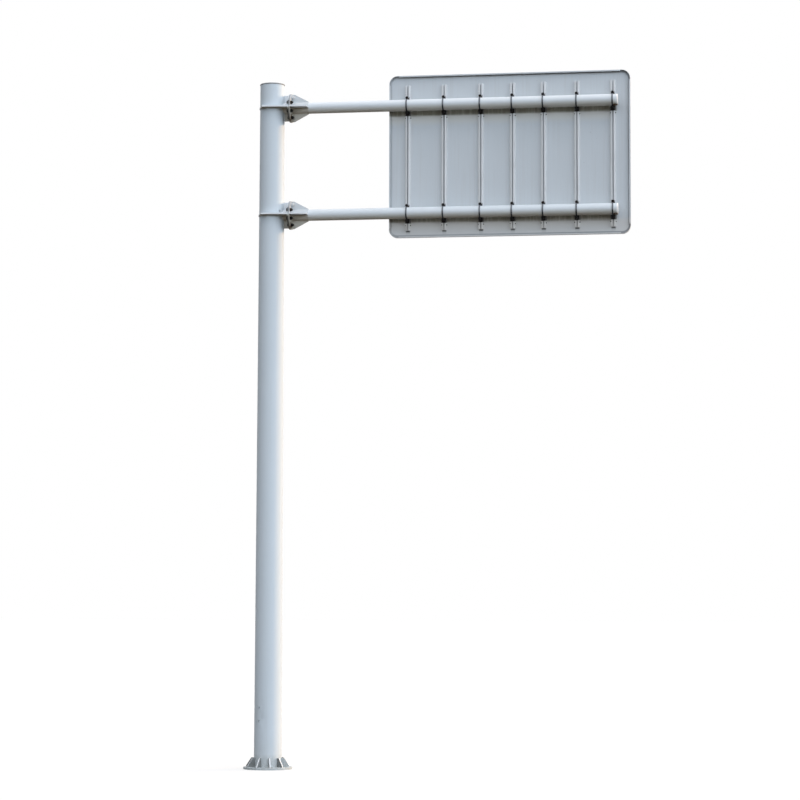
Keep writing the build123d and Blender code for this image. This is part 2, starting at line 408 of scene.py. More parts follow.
class Graph:
    """Short names for the nodes of one material."""

    def __init__(self, name):
        self.material = bpy.data.materials.new(name)
        self.material.use_nodes = True
        self.tree = self.material.node_tree
        self.shader = self.tree.nodes["Principled BSDF"]
        self.place = self.make("ShaderNodeTexCoord").outputs["Object"]

    def make(self, kind, **settings):
        node = self.tree.nodes.new(kind)
        for key, value in settings.items():
            setattr(node, key, value)
        return node

    def feed(self, socket, value):
        if isinstance(value, bpy.types.NodeSocket):
            self.tree.links.new(value, socket)
        else:
            socket.default_value = value

    def stretched(self, scale):
        node = self.make("ShaderNodeMapping")
        self.feed(node.inputs["Vector"], self.place)
        node.inputs["Scale"].default_value = scale
        return node.outputs["Vector"]

    def noise(self, scale, detail=3.0, roughness=0.5, vector=None):
        node = self.make("ShaderNodeTexNoise")
        self.feed(node.inputs["Vector"], vector or self.place)
        node.inputs["Scale"].default_value = scale
        node.inputs["Detail"].default_value = detail
        node.inputs["Roughness"].default_value = roughness
        return node.outputs["Fac"]

    def specks(self, scale):
        node = self.make("ShaderNodeTexVoronoi")
        self.feed(node.inputs["Vector"], self.place)
        node.inputs["Scale"].default_value = scale
        return node.outputs["Distance"]

    def math(self, operation, first, second=0.0):
        node = self.make("ShaderNodeMath", operation=operation)
        self.feed(node.inputs[0], first)
        self.feed(node.inputs[1], second)
        return node.outputs["Value"]

    def product(self, first, *others):
        """All the values multiplied together."""
        for other in others:
            first = self.math("MULTIPLY", first, other)
        return first

    def length(self, first, second):
        """Length of a vector with these two components."""
        squares = self.math("ADD", self.math("POWER", first, 2.0), self.math("POWER", second, 2.0))
        return self.math("SQRT", squares)

    def span(self, value, low, high, start=0.0, end=1.0):
        """Value remapped from low..high to start..end, held at both ends."""
        node = self.make("ShaderNodeMapRange", interpolation_type="SMOOTHSTEP")
        self.feed(node.inputs["Value"], value)
        for key, number in (("From Min", low), ("From Max", high), ("To Min", start), ("To Max", end)):
            node.inputs[key].default_value = number
        return node.outputs["Result"]

    def mix(self, first, second, share):
        node = self.make("ShaderNodeMix", data_type="RGBA")
        self.feed(node.inputs["Factor"], share)
        self.feed(node.inputs[6], first)
        self.feed(node.inputs[7], second)
        return node.outputs[2]

    def tint(self, colour, other, *shares):
        """A colour mixed with another one by the product of some shares."""
        return self.mix(colour, other, self.product(*shares))

    def axes(self):
        node = self.make("ShaderNodeSeparateXYZ")
        self.feed(node.inputs["Vector"], self.place)
        return node.outputs["X"], node.outputs["Y"], node.outputs["Z"]

    def near(self, point, reach):
        """One at a point, falling to zero at a reach from it."""
        node = self.make("ShaderNodeVectorMath", operation="DISTANCE")
        self.feed(node.inputs[0], self.place)
        node.inputs[1].default_value = point
        return self.span(node.outputs["Value"], 0.0, reach, 1.0, 0.0)

    def aside(self, value, middle):
        """Distance of a coordinate from a middle value."""
        return self.math("ABSOLUTE", self.math("SUBTRACT", value, middle))

    def between(self, value, low, high):
        """One where a value lies between two limits, and zero elsewhere."""
        above_low = self.math("GREATER_THAN", value, low)
        return self.product(above_low, self.math("LESS_THAN", value, high))

    def depth_inside(self, x, z, low, high, corner):
        """Distance inside the edge of an upright rectangle with rounded corners."""
        middle = (low + high) / 2
        across = self.math("SUBTRACT", self.aside(x, middle.x), (high.x - low.x) / 2 - corner)
        upward = self.math("SUBTRACT", self.aside(z, middle.z), (high.z - low.z) / 2 - corner)
        outside = self.length(self.math("MAXIMUM", across, 0.0), self.math("MAXIMUM", upward, 0.0))
        within = self.math("MINIMUM", self.math("MAXIMUM", across, upward), 0.0)
        return self.math("SUBTRACT", corner, self.math("ADD", outside, within))

    def bump(self, height, strength, distance):
        node = self.make("ShaderNodeBump")
        node.inputs["Strength"].default_value = strength
        node.inputs["Distance"].default_value = distance
        self.feed(node.inputs["Height"], height)
        self.feed(self.shader.inputs["Normal"], node.outputs["Normal"])

    def finish(self, colour, roughness, metallic=0.0, specular=0.5):
        self.feed(self.shader.inputs["Base Color"], colour)
        self.feed(self.shader.inputs["Roughness"], roughness)
        self.feed(self.shader.inputs["Metallic"], metallic)
        self.shader.inputs["Specular IOR Level"].default_value = specular
        return self.material


def arm_middle(level):
    """Height of an arm's axis."""
    low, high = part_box(f"{level}_arm_tube")
    return (low.z + high.z) / 2


def tube_radius(level):
    """Outer radius of an arm."""
    low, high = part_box(f"{level}_arm_tube")
    return (high.z - low.z) / 2


def rail_middles():
    """Places of the rails along the arms."""
    return [sum(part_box(rail)[end].x for end in (0, 1)) / 2 for rail in RAILS]


def column_radius(height):
    """Outer radius of the column at a height, from its foot and its top."""
    low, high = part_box("column_tube")
    cap_low, cap_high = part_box("column_cap")
    foot = (high.x - low.x) / 2
    top = (cap_high.x - cap_low.x) / 2 - COLUMN_CAP_OVERHANG
    return foot + (top - foot) * (height - low.z) / (high.z - low.z)


def rib_end(level):
    """Far end of the ribs of a joint, along the arm."""
    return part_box(f"{level}_arm_flange")[1].x + RIB_LENGTH


def flange_grime_and_shade(g, level, x, y, z):
    """Dirt in the seam of two bolted flanges, and painted shade on their rims beside a bolt and below the
    level plate.
    """
    low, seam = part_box(f"{level}_column_flange")
    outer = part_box(f"{level}_arm_flange")[1]
    height = arm_middle(level)
    edge = seam.z - height
    reach = g.length(y, g.math("SUBTRACT", z, height))
    rim = g.between(reach, edge - 0.002, edge + 0.002)
    rim = g.product(rim, g.between(x, low.x - 0.001, outer.x + 0.001))
    crack = g.span(g.aside(x, seam.x), 0.0012, 0.0026, 0.9, 0.0)
    # Painted shade on the rims below the level plate and beside a bolt; the seam itself holds real dirt.
    lower = g.span(z, height - 0.03, height - 0.01, 0.95, 0.0)
    lower = g.product(lower, g.span(z, height - 0.135, height - 0.11, 0.5, 1.0))
    bolt_rise = (edge - FLANGE_BOLT_EDGE) * math.sin(math.pi / FLANGE_BOLT_COUNT)
    beside_bolt = g.span(g.aside(z, height + bolt_rise), 0.016, 0.024, 0.8, 0.0)
    column_side = g.span(x, seam.x - 0.001, seam.x + 0.001, 1.0, 0.45)
    patches = g.product(g.math("MAXIMUM", lower, beside_bolt), column_side)
    return g.product(rim, g.math("MAXIMUM", crack, patches))


def gusset_masks(g, x, y, z):
    """Flat sides of the gussets, which take painted shade, and their narrow edges, which take a painted
    highlight.
    """
    low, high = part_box("base_gussets")
    turn = g.math("PINGPONG", g.math("ARCTAN2", y, x), math.pi / GUSSET_COUNT)
    reach = g.length(x, y)
    aside = g.product(reach, g.math("SINE", turn))
    clear = g.math("GREATER_THAN", reach, column_radius(low.z) + 0.002)
    clear = g.product(clear, g.between(z, low.z + 0.001, high.z + 0.001))
    half = GUSSET_THICKNESS / 2
    skin = 0.0006
    side = g.product(clear, g.between(aside, half - skin, half + skin))
    edge = g.product(clear, g.math("LESS_THAN", aside, half - skin))
    return side, edge


def joint_masks(g, level, x, y, z):
    """The joint above its level plate and below it, off the column itself."""
    height = arm_middle(level)
    clear = g.math("GREATER_THAN", g.length(x, y), column_radius(height) + 0.004)
    clear = g.product(clear, g.math("LESS_THAN", x, rib_end(level) + 0.002))
    above = g.between(z, height + JOINT_TINT_ABOVE, height + JOINT_TINT_REACH)
    below = g.between(z, height - JOINT_TINT_REACH, height - JOINT_TINT_BELOW)
    return g.product(clear, above), g.product(clear, below)


def coating_base(g, z, fine):
    """Mottled coating with rain streaks, and dirt splashed up from the ground."""
    broad = g.noise(1.6, 4)
    streak = g.noise(1.0, 6, 0.6, g.stretched((26, 26, 0.9)))
    colour = g.mix(COAT_COOL, COAT_PALE, broad)
    colour = g.mix(colour, COAT_MOTTLE, g.span(fine, 0.55, 0.78, 0.0, 0.18))
    colour = g.mix(colour, COAT_STREAK, g.span(streak, 0.58, 0.76, 0.0, 0.20))
    return g.tint(colour, SPLASH_DIRT, g.span(z, 0.05, 0.40, 1.0, 0.0), g.noise(5, 5, 0.6), 0.45)


def joint_tints(g, level, colour, x, y, z):
    """Joint: a painted highlight on the plate edges, painted light on the web, painted shade on the ribs and
    flange, and dirt with painted shade below the level plates.
    """
    # Painted highlight: the narrow edges of the level plates are coloured paler, as if lit.
    edge = g.span(g.aside(z, arm_middle(level)), 0.0054, 0.0058, 1.0, 0.0)
    colour = g.tint(colour, PLATE_EDGE_HIGHLIGHT, edge, g.math("LESS_THAN", x, rib_end(level) + 0.001))
    above, below = joint_masks(g, level, x, y, z)
    flange_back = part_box(f"{level}_column_flange")[0].x
    flange_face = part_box(f"{level}_arm_flange")[1].x
    on_flange = g.between(x, flange_face - 0.013, flange_face + 0.002)
    # Above the level plate: painted light on the web, and painted shade on the ribs and the arm's flange
    # face. Below it: dirt and painted shade.
    colour = g.tint(colour, WEB_PAINTED_LIGHT, above, g.math("LESS_THAN", x, flange_back), 0.7)
    colour = g.tint(colour, RIB_PAINTED_SHADE, above, g.math("GREATER_THAN", x, flange_back), 0.5)
    colour = g.tint(colour, FLANGE_PAINTED_SHADE, above, on_flange, 0.75)
    return g.tint(colour, JOINT_DIRT_AND_SHADE, below, 0.75)


def arm_tints(g, level, colour, x, z):
    """Arm: a painted highlight along its top, painted warm shade below, a painted highlight on its rounded
    end and a plain flat cap.
    """
    height = arm_middle(level)
    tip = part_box(f"{level}_arm_cap")[1].x
    on_arm = g.between(z, height - ARM_TINT_HALF_HEIGHT, height + ARM_TINT_HALF_HEIGHT)
    on_arm = g.product(on_arm, g.math("GREATER_THAN", x, rib_end(level)))
    # Painted highlight along the top of the arm, stronger on the upper arm.
    crown = g.span(z, height - 0.01, height + 0.045, 0.3, ARM_TOP_HIGHLIGHT_SHARE[level])
    colour = g.tint(colour, ARM_TOP_HIGHLIGHT, on_arm, crown)
    # Painted shade along the underside, warm as if lit from the ground.
    under = g.span(z, height - 0.045, height + 0.012, 0.75, 0.0)
    colour = g.tint(colour, ARM_UNDERSIDE_SHADE, on_arm, under)
    # Painted highlight on the rounded end, as if sunlit; the flat cap face keeps plain paint.
    rounded = g.span(x, tip - 0.020, tip - 0.012)
    rounded = g.product(rounded, g.math("LESS_THAN", x, tip - ARM_CAP_FACE))
    above_bottom = g.span(z, height - 0.056, height - 0.034)
    colour = g.tint(colour, ARM_END_HIGHLIGHT, on_arm, rounded, above_bottom)
    return g.tint(colour, CAP_FACE, on_arm, g.math("GREATER_THAN", x, tip - ARM_CAP_FACE))


def foot_tints(g, colour, x, y, z, fine):
    """Foot: dust all over, painted shade on the gussets' sides, less on the one under the arms, and a painted
    highlight on their edges.
    """
    foot = g.span(z, 0.10, 0.16, 0.45, 0.0)
    colour = g.tint(colour, FOOT_DIRT, foot, g.span(fine, 0.25, 0.6, 0.6, 1.0))
    side, edge = gusset_masks(g, x, y, z)
    under_arms = g.math("LESS_THAN", g.aside(y, 0.0), 0.02)
    under_arms = g.product(under_arms, g.math("GREATER_THAN", x, 0.0))
    # Painted shade on the gussets' sides, lighter on the one under the arms, and a painted highlight on their
    # edges.
    colour = g.tint(colour, GUSSET_PAINTED_SHADE, side, g.span(under_arms, 0.0, 1.0, 0.88, 0.2))
    return g.mix(colour, GUSSET_EDGE_HIGHLIGHT, edge)


def rust_spots(g, z):
    """Rust low on the foot, under the tips of the arms and on their flanges."""
    rusty = g.noise(70, 6, 0.7)
    rust = g.product(g.span(z, 0.012, 0.05, 0.25, 0.0), g.span(rusty, 0.5, 0.62))
    for level in LEVELS:
        height = arm_middle(level)
        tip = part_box(f"{level}_arm_cap")[1].x
        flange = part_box(f"{level}_arm_flange")[1].x
        spots = (
            ((tip - 0.028, -0.008, height - 0.0565), 0.044),
            ((flange, -0.05, height - 0.10), 0.05),
        )
        for place, reach in spots:
            patch = g.product(g.span(g.near(place, reach), 0.0, 0.5), g.span(rusty, 0.30, 0.46))
            rust = g.math("MAXIMUM", rust, patch)
    return rust


def coated_steel():
    """Pale coating on steel: mottled and streaked, tinted by place with dirt, painted light and painted
    shade, with dirty seams and a few rust spots.
    """
    g = Graph("pale_coating")
    x, y, z = g.axes()
    fine = g.noise(45, 5, 0.6)
    colour = coating_base(g, z, fine)
    for level in LEVELS:
        colour = joint_tints(g, level, colour, x, y, z)
        colour = arm_tints(g, level, colour, x, z)
        colour = g.mix(colour, SEAM_GRIME_AND_SHADE, flange_grime_and_shade(g, level, x, y, z))
    colour = foot_tints(g, colour, x, y, z, fine)
    colour = g.tint(colour, MARK_GREY, g.near(COLUMN_MARK, COLUMN_MARK_REACH), 0.9)
    # Grey tint over the cap and a strip just below it: the cap's bare grey, with painted shade for the dark
    # line under its lip.
    cap_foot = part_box("column_cap")[0].z
    cap_band = g.span(z, cap_foot - 0.008, cap_foot - 0.003)
    colour = g.tint(colour, CAP_GREY_AND_SHADE, cap_band, g.span(fine, 0.2, 0.5, 0.6, 0.95))
    colour = g.mix(colour, COAT_RUST, rust_spots(g, z))
    g.bump(g.noise(160, 3), 0.08, 0.002)
    return g.finish(colour, g.span(fine, 0.3, 0.75, 0.46, 0.64), specular=0.14)


def rim_dirt_and_shade(g, x, y, z):
    """Dirt and painted shade in the corner of sheet and rim, thickest low and right, and painted shade on the
    rim's inner and right sides.
    """
    low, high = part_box("sign_panel")
    depth = g.depth_inside(x, z, low, high, PANEL_CORNER)
    sheet_back = high.y - SHEET_THICKNESS
    on_sheet = g.between(y, sheet_back - 0.001, sheet_back + 0.001)
    low_side = g.span(z, low.z + 0.02, low.z + 0.06, 1.0, 0.0)
    spread = g.math("SUBTRACT", depth, g.product(low_side, 0.007))
    share = g.math("MAXIMUM", g.span(x, low.x, high.x, 0.35, 0.8), g.product(low_side, 0.65))
    corner = g.product(on_sheet, g.span(spread, 0.018, 0.027, 1.0, 0.0), share)
    wall = g.between(depth, SHEET_THICKNESS - 0.0008, SHEET_THICKNESS + 0.0012)
    wall = g.product(wall, g.between(y, low.y + 0.0005, sheet_back - 0.0005), 0.5)
    outside = g.product(g.math("GREATER_THAN", x, high.x - 0.0012), 0.5)
    return g.math("MAXIMUM", g.math("MAXIMUM", corner, outside), wall)


def rail_foot_shade_and_runs(g, x, z):
    """Painted shade in a dark dash just below the foot of each rail, and a dirt run on the sheet below it."""
    rail_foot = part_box(RAILS[0])[0].z
    beside = 0.0
    for middle in rail_middles():
        beside = g.math("MAXIMUM", g.span(g.aside(x, middle), 0.014, 0.028, 1.0, 0.0), beside)
    below_rails = g.math("LESS_THAN", z, rail_foot + 0.002)
    run = g.span(z, rail_foot - 0.055, rail_foot - 0.004, 0.0, 0.3)
    # Painted shade: the dash stands for the rail's dark open end and its shade; the run is dirt.
    dash = g.span(z, rail_foot - 0.020, rail_foot - 0.012, 0.0, 0.95)
    return g.product(beside, below_rails, g.math("MAXIMUM", run, dash))


def arm_shadow_and_light(g, x, z):
    """Painted shadow on the sheet close below each arm and painted light farther down, as far along as the
    arms reach.
    """
    low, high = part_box("sign_panel")
    from_middle = g.math("SUBTRACT", x, (low.x + high.x) / 2)
    arm_shadow = 0.0
    below_arm_light = 0.0
    for level in LEVELS:
        height = arm_middle(level)
        below_axis = g.math("LESS_THAN", z, height)
        sloped = g.math("ADD", z, g.product(from_middle, UNDER_ARM_SLOPE[level]))
        close = g.product(g.span(sloped, height - 0.105, height - 0.08), below_axis)
        farther = g.product(g.span(z, height - 0.21, height - 0.13), below_axis)
        arm_shadow = g.math("MAXIMUM", close, arm_shadow)
        below_arm_light = g.math("MAXIMUM", farther, below_arm_light)
    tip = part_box("upper_arm_tube")[1].x
    along_arms = g.span(x, tip - 0.03, tip + 0.02, 1.0, 0.0)
    uneven = g.span(g.noise(1.0, 5, 0.6, g.stretched((40, 40, 4))), 0.25, 0.6, 0.6, 1.0)
    return g.product(arm_shadow, along_arms, uneven), g.product(below_arm_light, along_arms)


def weathered_sheet():
    """Bare aluminium sheet: rolling streaks, dull clouds, dirt and painted shade below the rails, painted
    shadow and light below the arms, painted shade at the rim and a few specks.
    """
    g = Graph("bare_sheet")
    x, y, z = g.axes()
    clouds = g.noise(2.2, 5, 0.6)
    rolling = g.noise(1.0, 4, 0.6, g.stretched((70, 70, 1.6)))
    colour = g.mix(SHEET_DULL, SHEET_BRIGHT, clouds)
    colour = g.mix(colour, SHEET_STREAK, g.span(rolling, 0.45, 0.72, 0.0, 0.4))
    arm_shadow, below_arm_light = arm_shadow_and_light(g, x, z)
    # Painted light: a paler, warmer band farther below each arm. Painted shadow: each arm's dark band on the
    # sheet just below it.
    colour = g.tint(colour, SHEET_BELOW_ARM_LIGHT, below_arm_light, 0.6)
    colour = g.tint(colour, UNDER_ARM_SHADOW, arm_shadow, 0.92)
    lower_arm = arm_middle("lower")
    # Painted light: the sheet below the lower arm is lighter and warmer, as if lit from the ground.
    colour = g.tint(colour, SHEET_FOOT_GROUND_LIGHT, g.span(z, lower_arm - 0.12, lower_arm - 0.05, 1.0, 0.0), 0.75)
    colour = g.mix(colour, SMEAR_DIRT_AND_SHADE, rail_foot_shade_and_runs(g, x, z))
    colour = g.mix(colour, RIM_DIRT_AND_SHADE, rim_dirt_and_shade(g, x, y, z))
    specks = g.span(g.specks(13), 0.03, 0.075, 1.0, 0.0)
    colour = g.tint(colour, SPECK_GREY, specks, g.span(g.noise(3.1, 2), 0.56, 0.66), 0.7)
    g.bump(g.noise(6, 3), 0.12, 0.006)
    return g.finish(colour, g.span(clouds, 0.3, 0.7, 0.50, 0.64), specular=0.14)


def extruded_rail():
    """Satin extrusion with fine lines along it, with painted shade on its left lip, in its slot, below the
    arms and at its foot.
    """
    g = Graph("satin_rail")
    x, y, z = g.axes()
    lines = g.noise(1.0, 3, 0.6, g.stretched((420, 420, 2)))
    clouds = g.noise(7, 4)
    colour = g.mix(RAIL_DULL, RAIL_BRIGHT, lines)
    colour = g.mix(colour, RAIL_CLOUD, g.span(clouds, 0.5, 0.75, 0.0, 0.5))
    low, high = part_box(RAILS[0])
    skin = RAIL_WALL * 0.9
    deep = g.between(y, low.y + skin, high.y - skin)
    inside = 0.0
    left = 0.0
    for middle in rail_middles():
        within = g.math("LESS_THAN", g.aside(x, middle), RAIL_BODY_WIDTH / 2 - skin)
        inside = g.math("MAXIMUM", within, inside)
        left = g.math("MAXIMUM", g.between(x, middle - RAIL_BODY_WIDTH, middle), left)
    # Painted shade on the left lip below the upper arm, and inside the slot.
    colour = g.tint(colour, RAIL_LEFT_LIP_SHADE, left, g.math("LESS_THAN", z, arm_middle("upper")), 0.5)
    colour = g.tint(colour, RAIL_SLOT_SHADE, inside, deep)
    # Painted shadow of each arm across the rails.
    for level in LEVELS:
        height = arm_middle(level)
        below = g.product(g.span(z, height - 0.100, height - 0.085), g.math("LESS_THAN", z, height))
        colour = g.tint(colour, RAIL_UNDER_ARM_SHADOW, below, 0.85)
    # Painted shade, warm as if lit from the ground, on the rails below the lower arm.
    foot = g.math("LESS_THAN", z, arm_middle("lower") - 0.09)
    colour = g.tint(colour, RAIL_FOOT_WARM_SHADE, foot, 0.65)
    g.bump(lines, 0.15, 0.0008)
    return g.finish(colour, g.span(clouds, 0.3, 0.7, 0.38, 0.55), metallic=0.3, specular=0.3)


def dark_steel(name, tones, rust_share, shade_share, gloss):
    """Weathered steel of two tones, with brown rust over a share of it and painted shade below the arms'
    axes.
    """
    g = Graph(name)
    z = g.axes()[2]
    rust = g.span(g.noise(55, 6, 0.7), 0.46, 0.64, 0.0, rust_share)
    grain = g.noise(260, 4)
    colour = g.mix(*tones, grain)
    colour = g.mix(colour, STEEL_RUST, rust)
    # Painted shade: the steel darkens below each arm's axis.
    for level in LEVELS:
        height = arm_middle(level)
        near_arm = g.math("GREATER_THAN", z, height - 0.3)
        below = g.span(z, height - 0.03, height, 1.0, 0.0)
        colour = g.tint(colour, STEEL_LOW_SHADE, near_arm, below, shade_share)
    g.bump(grain, 0.35, 0.001)
    return g.finish(colour, g.span(grain, 0.3, 0.7, 0.50, 0.72), metallic=0.1, specular=gloss)


def sign_facing():
    """Blue reflective sheeting with a white border line, the seam of its two strips and faint cells."""
    g = Graph("blue_facing")
    x, _, z = g.axes()
    low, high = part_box("sign_face")
    depth = g.depth_inside(x, z, low, high, PANEL_CORNER)
    border = g.between(depth, BORDER_INSET, BORDER_INSET + BORDER_WIDTH)
    clouds = g.noise(1.8, 4)
    cells = g.make("ShaderNodeTexBrick")
    g.feed(cells.inputs["Vector"], g.place)
    cells.inputs["Scale"].default_value = FACING_CELL_SCALE
    blue = g.mix(FACING_DEEP, FACING_BLUE, clouds)
    seam = g.span(g.aside(x, (low.x + high.x) / 2), 0.0008, 0.003, 1.0, 0.0)
    blue = g.tint(blue, FACING_SEAM, seam, 0.8)
    white = g.mix(BORDER_BRIGHT, BORDER_DULL, clouds)
    colour = g.mix(blue, white, border)
    dust = g.noise(1.0, 5, 0.6, g.stretched((14, 14, 0.8)))
    colour = g.mix(colour, FACING_DUST, g.span(dust, 0.55, 0.8, 0.0, 0.12))
    g.bump(cells.outputs["Fac"], 0.05, 0.0005)
    return g.finish(colour, g.span(clouds, 0.3, 0.7, 0.28, 0.40), specular=0.5)


def dress_nodes(materials, finishes):
    """Gives each node of the frame its own finish, or else the material of its slot."""
    for part in frame["record"]["subparts"]:
        node = nodes[part["node"]]
        material = finishes.get(part["node"], materials[part["material_slot"]])
        if not node.material_slots:
            node.data.materials.append(material)
        for slot in node.material_slots:
            slot.material = material


def add_flange_bolts(bare, coated):
    """Bolts through both flanges of each joint, with nuts on the arm's side; the top two are painted over."""
    bare_shape = Shape()
    coated_shape = Shape()
    nut = hex_block(FLANGE_BOLT_FLATS, FLANGE_NUT_HEIGHT, FLANGE_WASHER_THICKNESS)
    tail = thread(FLANGE_BOLT_RADIUS, FLANGE_THREAD_START, FLANGE_THREAD_END, FLANGE_THREAD_PITCH)
    for level in LEVELS:
        low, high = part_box(f"{level}_column_flange")
        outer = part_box(f"{level}_arm_flange")[1]
        circle = (high.z - low.z) / 2 - FLANGE_BOLT_EDGE
        for place in range(FLANGE_BOLT_COUNT):
            angle = math.tau * (place + 0.5) / FLANGE_BOLT_COUNT
            across = circle * math.cos(angle)
            up = arm_middle(level) + circle * math.sin(angle)
            shape = coated_shape if math.sin(angle) > PAINTED_BOLT_SINE else bare_shape
            near_end = along((outer.x, across, up), (1, 0, 0))
            far_end = along((low.x, across, up), (-1, 0, 0))
            shank = along((low.x, across, up), (1, 0, 0))
            spin = Matrix.Rotation(random.uniform(0, math.tau), 4, "Z")
            shape.add(*washer(FLANGE_WASHER_RADIUS, FLANGE_WASHER_THICKNESS), near_end)
            shape.add(*nut, near_end @ spin)
            shape.add(*tail, near_end)
            shape.add(*hex_block(FLANGE_BOLT_FLATS, FLANGE_HEAD_HEIGHT), far_end @ spin)
            shape.add(*rod(FLANGE_BOLT_RADIUS, 0.0, outer.x - low.x), shank)
    bare_shape.to_piece("flange_bolts", bare)
    coated_shape.to_piece("painted_flange_bolts", coated)


def add_clamp_bolts(material):
    """Bolts from each rail's slot through saddle and strap, with a nut on the saddle and one on the eye."""
    shape = Shape()
    saddle_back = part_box("upper_clamp_saddles")[1].y
    saddle_face = saddle_back - STRAP_THICKNESS
    rail_inside = saddle_back + RAIL_WALL
    flat = washer(CLAMP_WASHER_RADIUS, CLAMP_WASHER_THICKNESS)
    nut = hex_block(CLAMP_BOLT_FLATS, CLAMP_NUT_HEIGHT, CLAMP_WASHER_THICKNESS)
    shank = thread(CLAMP_BOLT_RADIUS, 0.0, rail_inside + STRAP_THICKNESS, CLAMP_THREAD_PITCH)
    head = hex_block(CLAMP_HEAD_FLATS, CLAMP_HEAD_HEIGHT)
    for level in LEVELS:
        low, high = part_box(f"{level}_clamp_straps")
        reach = (high.z - low.z) / 2 - CLAMP_EYE_RADIUS
        for x in rail_middles():
            for sign in (-1, 1):
                place = Vector((x, 0, arm_middle(level) + sign * reach))
                eye = along(place + Vector((0, -STRAP_THICKNESS, 0)), (0, -1, 0))
                seat = along(place + Vector((0, saddle_face, 0)), (0, -1, 0))
                slot = place + Vector((0, rail_inside, 0))
                spin = Matrix.Rotation(random.uniform(0, math.tau), 4, "Z")
                tail_end = CLAMP_THREAD_START + random.uniform(*CLAMP_SPARE_THREAD)
                tail = thread(CLAMP_BOLT_RADIUS, CLAMP_THREAD_START, tail_end, CLAMP_THREAD_PITCH)
                shape.add(*flat, eye)
                shape.add(*nut, eye @ spin)
                shape.add(*tail, eye)
                shape.add(*flat, seat)
                shape.add(*nut, seat @ spin)
                shape.add(*shank, along(slot, (0, -1, 0)))
                shape.add(*head, along(slot, (0, 1, 0)))
    shape.to_piece("clamp_bolts", material)


def add_rivets(bright, dark):
    """Blind rivets through the lips of the rails on alternate sides, and a dark pair below each clamp."""
    bright_shape = Shape()
    dark_shape = Shape()
    head = dome(RIVET_RADIUS, RIVET_HEIGHT)
    for rail in RAILS:
        low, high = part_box(rail)
        middle = (low.x + high.x) / 2
        offset = RAIL_BODY_WIDTH / 2 + (high.x - low.x - RAIL_BODY_WIDTH) / 4
        count = round((high.z - low.z) / RIVET_STEP)
        step = (high.z - low.z) / count
        spots = []
        for place in range(count):
            side = 1 if place % 2 else -1
            spots.append((bright_shape, side, low.z + step * (place + 0.5)))
        for level in LEVELS:
            for side in (-1, 1):
                spots.append((dark_shape, side, arm_middle(level) - RIVET_PAIR_DROP))
        for shape, side, height in spots:
            spot = (middle + side * offset, high.y - RAIL_WALL, height)
            shape.add(*head, along(spot, (0, -1, 0)))
    bright_shape.to_piece("rail_rivets", bright)
    dark_shape.to_piece("clamp_rivets", dark)


def level_half_width(level, x):
    """Half width of a joint's level plates: straight edges from the column out to the end of the ribs."""
    wide = column_radius(arm_middle(level)) + COLLAR_OVERHANG
    return wide + (RIB_END_HALF_WIDTH - wide) * x / rib_end(level)


def collar_outline(level):
    """Plate round the column up to its flange, with a gap for the column and the stub."""
    bore = column_radius(arm_middle(level)) + SEAT_GAP
    stub = tube_radius(level) + SEAT_GAP
    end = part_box(f"{level}_column_flange")[0].x - SEAT_GAP
    corner = -bore * COLLAR_CORNER_SHARE
    back = -(bore + COLLAR_BACK)
    back_half = bore * COLLAR_BACK_SHARE
    near_half = level_half_width(level, corner)
    far_half = level_half_width(level, end)
    outline = [(end, stub), (end, far_half), (corner, near_half), (back, back_half)]
    outline += [(back, -back_half), (corner, -near_half), (end, -far_half), (end, -stub)]
    first = math.asin(stub / bore)
    for step in range(COLLAR_ARC_STEPS + 1):
        angle = math.tau - first - (math.tau - 2 * first) * step / COLLAR_ARC_STEPS
        outline.append((bore * math.cos(angle), bore * math.sin(angle)))
    return outline


def rib_outline(level, upright):
    """Rib from the arm's flange along the tube, as (distance along the arm, distance from its axis)."""
    flange_low, flange_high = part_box(f"{level}_arm_flange")
    foot = tube_radius(level) + SEAT_GAP
    start = flange_high.x + SEAT_GAP
    end = rib_end(level)
    outline = [(start, foot), (end, foot)]
    if upright:
        crown = (flange_high.z - flange_low.z) / 2 - RIB_INSET
        outline += [(end, foot + RIB_NOSE), (start + RIB_SHOULDER, crown), (start, crown)]
    else:
        outline += [(end, RIB_END_HALF_WIDTH), (start, level_half_width(level, start))]
    return outline


def add_level_plates(material):
    """Collar plate round the column and four ribs on the arm, for the frame's simpler ring plate and ribs."""
    for level in LEVELS:
        axis = Matrix.Translation((0, 0, arm_middle(level)))
        ring_low, ring_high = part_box(f"{level}_ring_plate")
        collar = Shape()
        collar.add(*plate(collar_outline(level), ring_high.z - ring_low.z), axis)
        ribs = Shape()
        for turn in range(RIB_COUNT):
            spin = Matrix.Rotation(math.tau * turn / RIB_COUNT, 4, "X")
            ribs.add(*plate(rib_outline(level, turn % 2 == 1), RIB_THICKNESS), axis @ spin)
        piece = collar.to_piece(f"{level}_collar_plate", material)
        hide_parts(f"{level}_ring_plate")
        piece = ribs.to_piece(f"{level}_rib_set", material)
        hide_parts(f"{level}_arm_ribs")


def round_path(centre, radius, rise, axis):
    """Closed circle about X or Z, with normals leaning out of the corner that a weld fills."""
    count = max(WELD_FEWEST_POINTS, RIPPLE_POINTS * round(math.tau * radius / RIPPLE_LENGTH))
    path = []
    normals = []
    for place in range(count):
        angle = math.tau * place / count
        first = math.cos(angle)
        second = math.sin(angle)
        if axis == "Z":
            out = Vector((first, second, 0))
            lift = Vector((0, 0, rise))
        else:
            out = Vector((0, first, second))
            lift = Vector((rise, 0, 0))
        path.append(Vector(centre) + out * radius)
        normals.append(out + lift)
    return path, normals


def line_path(start, end, normal):
    """Straight line from start to end, with one normal that leans out of the corner that a weld fills."""
    count = RIPPLE_POINTS * max(1, round((end - start).length / RIPPLE_LENGTH))
    path = [start.lerp(end, place / count) for place in range(count + 1)]
    return path, [normal] * len(path)


